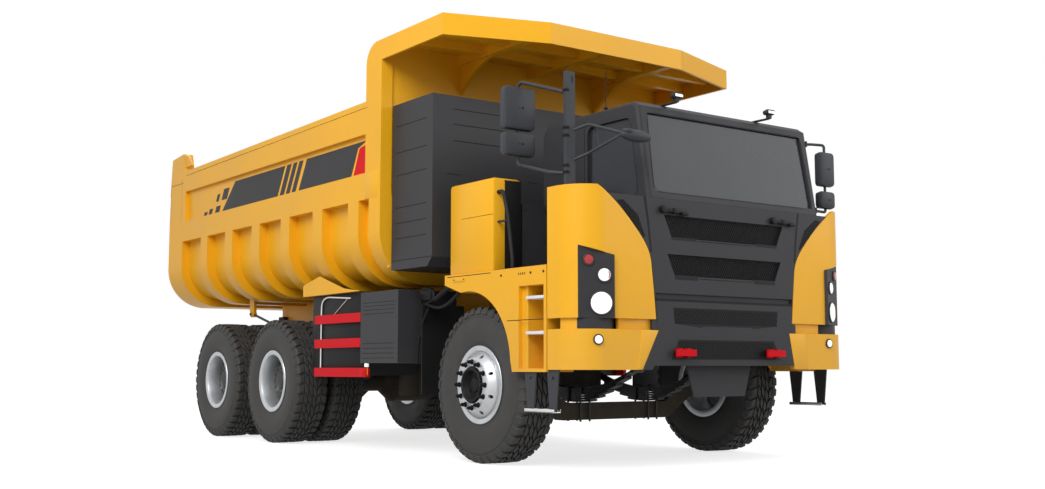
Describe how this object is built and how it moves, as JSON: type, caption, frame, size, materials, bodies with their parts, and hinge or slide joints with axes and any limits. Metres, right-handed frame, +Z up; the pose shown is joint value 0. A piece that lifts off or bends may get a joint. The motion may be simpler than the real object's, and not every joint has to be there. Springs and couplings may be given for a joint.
{
  "type": "mining dump truck",
  "caption": "Wide-body off-highway dump truck with a rounded tipping bed, a canopy over an offset cab, steered front wheels and twin rear wheels on two axles.",
  "frame": {"origin": "middle of the truck's overall box at ground level, under the middle of its length and width", "axes": "+Z up, -Y towards the front, +Y towards the tail, +X towards the truck's left side"},
  "size_m": [3.95, 9.43, 4.3838],
  "materials": {
    "yellow": "semi-gloss enamel",
    "charcoal": "satin enamel",
    "frame_grey": "satin chassis paint",
    "tyre": "moulded rubber",
    "rim_silver": "silver wheel paint",
    "glass": "tinted laminated glass",
    "plastic": "grained moulding",
    "red": "gloss enamel",
    "tread_white": "light enamel",
    "chrome": "hard chrome",
    "mirror_grey": "grained moulding",
    "lamp": "clear lens",
    "rubber": "matt sheet",
    "alloy": "anodised tube"
  },
  "bodies": {
    "chassis": {"frame_rails": "frame_grey", "axles": "frame_grey", "suspension": "frame_grey", "drive_motor": "frame_grey", "cab_shell": "charcoal", "cab_glass": "glass", "cab_fittings": "plastic", "deck": "charcoal", "fenders": "yellow", "front_corners": "yellow", "front_panel": "charcoal", "lower_bumper": "charcoal", "lamps": "lamp", "tow_hooks": "red", "steps": "tread_white", "battery_cabinet": "charcoal", "equipment_boxes": "charcoal", "side_guards": "red", "tool_lockers": "yellow", "handrails": "frame_grey", "mud_flaps": "rubber", "mirrors": "mirror_grey"},
    "knuckle_right": {"knuckle_right": "frame_grey"},
    "knuckle_left": {"knuckle_left": "frame_grey"},
    "front_wheel_right": {"front_rim_right": "rim_silver", "front_tyre_right": "tyre"},
    "front_wheel_left": {"front_rim_left": "rim_silver", "front_tyre_left": "tyre"},
    "middle_wheels_right": {"middle_rims_right": "rim_silver", "middle_tyres_right": "tyre"},
    "middle_wheels_left": {"middle_rims_left": "rim_silver", "middle_tyres_left": "tyre"},
    "rear_wheels_right": {"rear_rims_right": "rim_silver", "rear_tyres_right": "tyre"},
    "rear_wheels_left": {"rear_rims_left": "rim_silver", "rear_tyres_left": "tyre"},
    "bed": {"bed_tub": "yellow", "bed_canopy": "yellow"},
    "hoist_barrels": {"hoist_barrels": "frame_grey"},
    "hoist_stage_1": {"hoist_stage_1": "chrome"},
    "hoist_stage_2": {"hoist_stage_2": "chrome"},
    "hoist_stage_3": {"hoist_stage_3": "chrome"},
    "hoist_rods": {"hoist_rods": "chrome"},
    "door": {"cab_door": "charcoal", "door_glass": "glass"}
  },
  "joints": [
    {"name": "steer_right", "type": "hinge", "parent": "chassis", "child": "knuckle_right", "pos_m": [-1.25, -2.925, 0.7465], "axis": [0, 0, 1], "range_deg": [-30, 30]},
    {"name": "roll_front_right", "type": "hinge", "parent": "knuckle_right", "child": "front_wheel_right", "pos_m": [-1.48, -2.925, 0.7465], "axis": [1, 0, 0], "continuous": true},
    {"name": "steer_left", "type": "hinge", "parent": "chassis", "child": "knuckle_left", "pos_m": [1.25, -2.925, 0.7465], "axis": [0, 0, 1], "range_deg": [-30, 30]},
    {"name": "roll_front_left", "type": "hinge", "parent": "knuckle_left", "child": "front_wheel_left", "pos_m": [1.48, -2.925, 0.7465], "axis": [1, 0, 0], "continuous": true},
    {"name": "roll_middle_right", "type": "hinge", "parent": "chassis", "child": "middle_wheels_right", "pos_m": [-1.474, 1.215, 0.7465], "axis": [1, 0, 0], "continuous": true},
    {"name": "roll_middle_left", "type": "hinge", "parent": "chassis", "child": "middle_wheels_left", "pos_m": [1.474, 1.215, 0.7465], "axis": [1, 0, 0], "continuous": true},
    {"name": "roll_rear_right", "type": "hinge", "parent": "chassis", "child": "rear_wheels_right", "pos_m": [-1.474, 2.959, 0.7465], "axis": [1, 0, 0], "continuous": true},
    {"name": "roll_rear_left", "type": "hinge", "parent": "chassis", "child": "rear_wheels_left", "pos_m": [1.474, 2.959, 0.7465], "axis": [1, 0, 0], "continuous": true},
    {"name": "bed_tip", "type": "hinge", "parent": "chassis", "child": "bed", "pos_m": [0, 3.925, 1.56], "axis": [-1, 0, 0], "range_deg": [0, 45]},
    {"name": "hoist_swing", "type": "hinge", "parent": "chassis", "child": "hoist_barrels", "pos_m": [0, -0.055, 1], "axis": [-1, 0, 0], "range_deg": [0, 22.5]},
    {"name": "extend_stage_1", "type": "slide", "parent": "hoist_barrels", "child": "hoist_stage_1", "axis": [0, -0.0537, 0.9986], "range_m": [0, 0.7532]},
    {"name": "extend_stage_2", "type": "slide", "parent": "hoist_stage_1", "child": "hoist_stage_2", "axis": [0, -0.0537, 0.9986], "range_m": [0, 0.7532]},
    {"name": "extend_stage_3", "type": "slide", "parent": "hoist_stage_2", "child": "hoist_stage_3", "axis": [0, -0.0537, 0.9986], "range_m": [0, 0.7532]},
    {"name": "extend_rods", "type": "slide", "parent": "hoist_stage_3", "child": "hoist_rods", "axis": [0, -0.0537, 0.9986], "range_m": [0, 0.7532]},
    {"name": "door_swing", "type": "hinge", "parent": "chassis", "child": "door", "pos_m": [1.382, -4.448, 2.3], "axis": [0, 0, -1], "range_deg": [0, 65]}
  ],
  "couplings": [
    {"joint": "steer_left", "follows": "steer_right", "ratio": 1},
    {"joint": "hoist_swing", "follows": "bed_tip", "ratio": 0.5},
    {"joint": "extend_stage_1", "follows": "bed_tip", "m_per_rad": 0.95881},
    {"joint": "extend_stage_2", "follows": "bed_tip", "m_per_rad": 0.95881},
    {"joint": "extend_stage_3", "follows": "bed_tip", "m_per_rad": 0.95881},
    {"joint": "extend_rods", "follows": "bed_tip", "m_per_rad": 0.95881}
  ]
}
